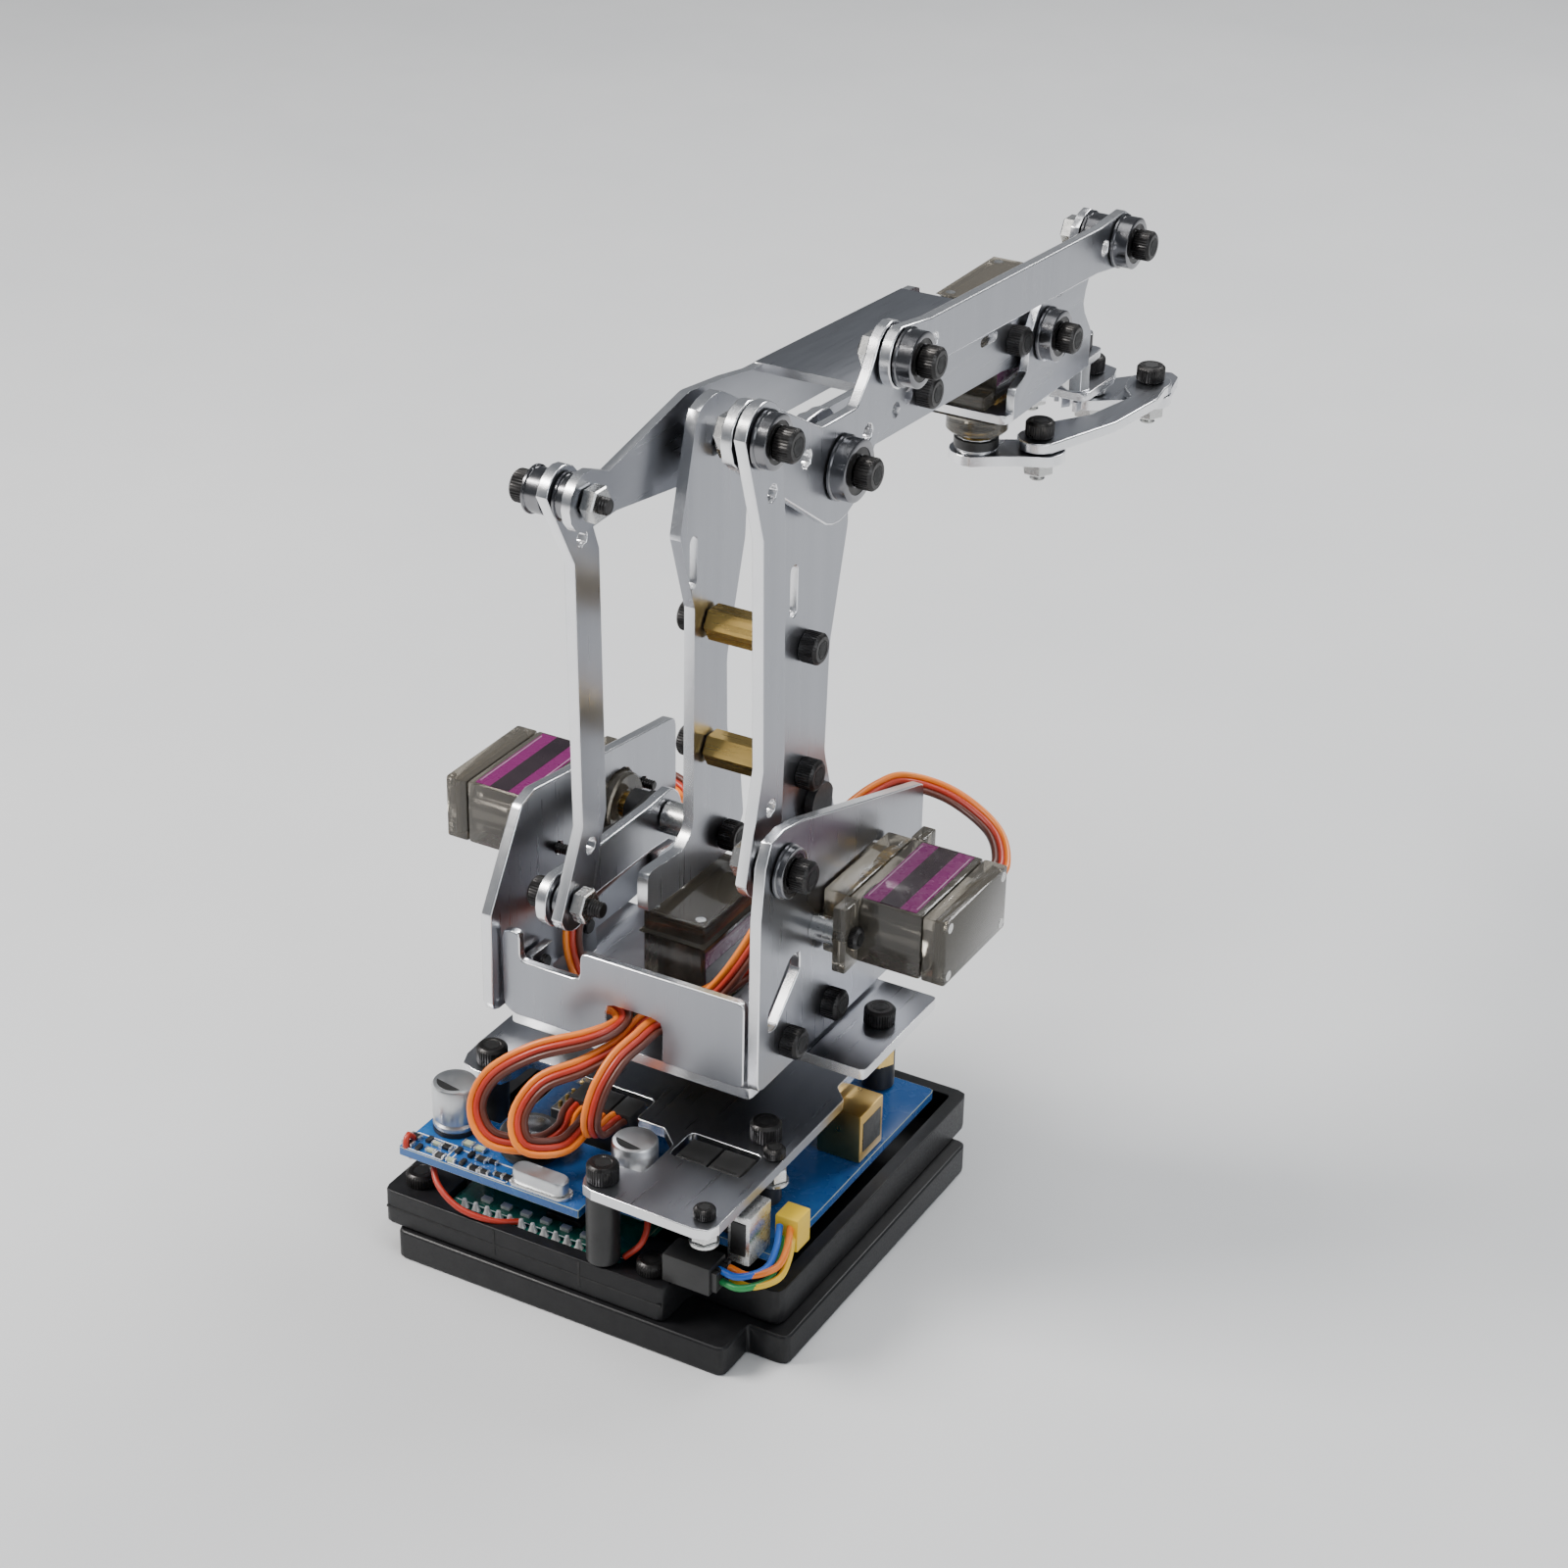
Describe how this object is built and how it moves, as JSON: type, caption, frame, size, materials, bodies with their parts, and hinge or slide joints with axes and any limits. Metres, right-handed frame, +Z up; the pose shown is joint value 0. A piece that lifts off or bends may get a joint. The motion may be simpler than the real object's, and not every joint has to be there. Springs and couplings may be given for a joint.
{
  "type": "desktop robot arm",
  "caption": "Desktop robot arm of flat aluminium links on a black base: yaw turret, parallelogram lower and upper arms, and a geared jaw gripper, driven by micro servos.",
  "frame": {"origin": "centre of the base slab's underside", "axes": "+X to the arm's right along its shoulder axle, +Y the way the arm reaches, +Z up"},
  "size_m": [0.098, 0.1938, 0.1597],
  "materials": {
    "aluminium": "satin sheet with bright cut edges",
    "black_steel": "black oxide screws and bearings",
    "brass": "turned hexagon spacer",
    "black_plastic": "moulded black",
    "smoke_plastic": "smoke translucent servo case",
    "blue_board": "blue solder mask",
    "green_board": "green solder mask",
    "can_metal": "satin capacitor can",
    "wire": "coloured wire insulation"
  },
  "bodies": {
    "base": {"base_slab": "black_plastic", "base_tray": "black_plastic", "main_board": "blue_board", "receiver_board": "green_board", "power_board": "blue_board", "capacitor_left": "can_metal", "capacitor_right": "can_metal", "servo_header": "black_plastic", "signal_plugs": "black_plastic", "base_plate": "aluminium", "plate_post_1": "black_plastic", "plate_post_2": "black_plastic", "plate_post_3": "black_plastic", "plate_post_4": "black_plastic", "plate_post_5": "black_plastic", "yaw_horn": "black_plastic", "elbow_servo_lead": "wire", "yaw_servo_lead": "wire", "shoulder_servo_lead": "wire", "jumper_wires": "wire"},
    "turret": {"turret_floor": "aluminium", "rear_plate": "aluminium", "left_side_plate": "aluminium", "right_side_plate": "aluminium", "yaw_servo": "smoke_plastic", "shoulder_servo": "smoke_plastic", "elbow_servo": "smoke_plastic", "fixed_pin": "black_steel"},
    "lower_arm": {"arm_left_plate": "aluminium", "arm_right_plate": "aluminium", "arm_spacer_upper": "brass", "arm_spacer_lower": "brass", "shoulder_pin": "black_steel", "elbow_pin_left": "black_steel", "elbow_pin_right": "black_steel", "shoulder_horn": "black_plastic"},
    "crank": {"crank_arm": "aluminium", "elbow_horn": "black_plastic"},
    "crank_pin": {"crank_pin": "black_steel"},
    "rear_link": {"rear_link": "aluminium", "rear_link_pin": "black_steel"},
    "stabiliser_link": {"stabiliser_link": "aluminium"},
    "elbow_plate": {"elbow_plate": "aluminium", "elbow_plate_rear_pin": "black_steel", "elbow_plate_nose_pin": "black_steel"},
    "upper_arm": {"upper_arm": "aluminium", "wrist_pin": "black_steel"},
    "front_link": {"front_link": "aluminium"},
    "gripper": {"gripper_bracket": "aluminium", "bracket_pin": "black_steel", "gripper_servo": "smoke_plastic", "gripper_plate": "aluminium", "right_jaw_pin": "black_steel", "left_jaw_pin": "black_steel"},
    "lever": {"gripper_lever": "aluminium", "lever_pin": "black_steel"},
    "drive_link": {"drive_link": "aluminium"},
    "right_jaw": {"right_jaw": "aluminium", "drive_pin": "black_steel"},
    "left_jaw": {"left_jaw": "aluminium"}
  },
  "joints": [
    {"name": "base_yaw", "type": "hinge", "parent": "base", "child": "turret", "pos_m": [0, 0.0135, 0.0314], "axis": [0, 0, 1], "range_deg": [-90, 90], "deforming": ["elbow_servo_lead", "yaw_servo_lead", "shoulder_servo_lead"]},
    {"name": "shoulder", "type": "hinge", "parent": "turret", "child": "lower_arm", "pos_m": [0, 0.0178, 0.0642], "axis": [1, 0, 0], "range_deg": [-45, 3]},
    {"name": "stabiliser_pivot", "type": "hinge", "parent": "turret", "child": "stabiliser_link", "pos_m": [0.021, -0.0119, 0.0798], "axis": [1, 0, 0], "range_deg": [-45, 3]},
    {"name": "elbow_plate_pivot", "type": "hinge", "parent": "lower_arm", "child": "elbow_plate", "pos_m": [0.0185, 0.0155, 0.1383], "axis": [1, 0, 0], "range_deg": [-3, 45]},
    {"name": "elbow", "type": "hinge", "parent": "elbow_plate", "child": "upper_arm", "pos_m": [0, 0.0155, 0.1383], "axis": [1, 0, 0], "range_deg": [-35, 10]},
    {"name": "crank_pivot", "type": "hinge", "parent": "turret", "child": "crank", "pos_m": [-0.015, 0.0178, 0.0642], "axis": [1, 0, 0], "range_deg": [-35, 10]},
    {"name": "crank_pin_pivot", "type": "hinge", "parent": "crank", "child": "crank_pin", "pos_m": [-0.015, -0.0162, 0.0647], "axis": [1, 0, 0], "range_deg": [-10, 35]},
    {"name": "rear_link_pivot", "type": "hinge", "parent": "crank_pin", "child": "rear_link", "pos_m": [-0.012, -0.0162, 0.0647], "axis": [1, 0, 0], "range_deg": [-45, 3]},
    {"name": "front_link_pivot", "type": "hinge", "parent": "elbow_plate", "child": "front_link", "pos_m": [0.021, 0.0315, 0.1523], "axis": [1, 0, 0], "range_deg": [-35, 10]},
    {"name": "wrist", "type": "hinge", "parent": "upper_arm", "child": "gripper", "pos_m": [0.0148, 0.1005, 0.1333], "axis": [1, 0, 0], "range_deg": [-10, 35]},
    {"name": "grip", "type": "hinge", "parent": "gripper", "child": "lever", "pos_m": [0.0045, 0.097, 0.1089], "axis": [0, 0, 1], "range_deg": [0, 40]},
    {"name": "drive_link_pivot", "type": "hinge", "parent": "lever", "child": "drive_link", "pos_m": [0.0145, 0.103, 0.1112], "axis": [0, 0, 1], "range_deg": [-40, 0]},
    {"name": "right_jaw_pivot", "type": "hinge", "parent": "gripper", "child": "right_jaw", "pos_m": [0.0105, 0.134, 0.1089], "axis": [0, 0, 1], "range_deg": [0, 40]},
    {"name": "left_jaw_pivot", "type": "hinge", "parent": "gripper", "child": "left_jaw", "pos_m": [-0.0015, 0.134, 0.1089], "axis": [0, 0, 1], "range_deg": [-40, 0]}
  ],
  "couplings": [
    {"joint": "stabiliser_pivot", "follows": "shoulder", "ratio": 1},
    {"joint": "elbow_plate_pivot", "follows": "shoulder", "ratio": -1},
    {"joint": "rear_link_pivot", "follows": "shoulder", "ratio": 1},
    {"joint": "crank_pivot", "follows": "elbow", "ratio": 1},
    {"joint": "crank_pin_pivot", "follows": "elbow", "ratio": -1},
    {"joint": "front_link_pivot", "follows": "elbow", "ratio": 1},
    {"joint": "wrist", "follows": "elbow", "ratio": -1},
    {"joint": "drive_link_pivot", "follows": "grip", "ratio": -1},
    {"joint": "right_jaw_pivot", "follows": "grip", "ratio": 1},
    {"joint": "left_jaw_pivot", "follows": "grip", "ratio": -1}
  ]
}
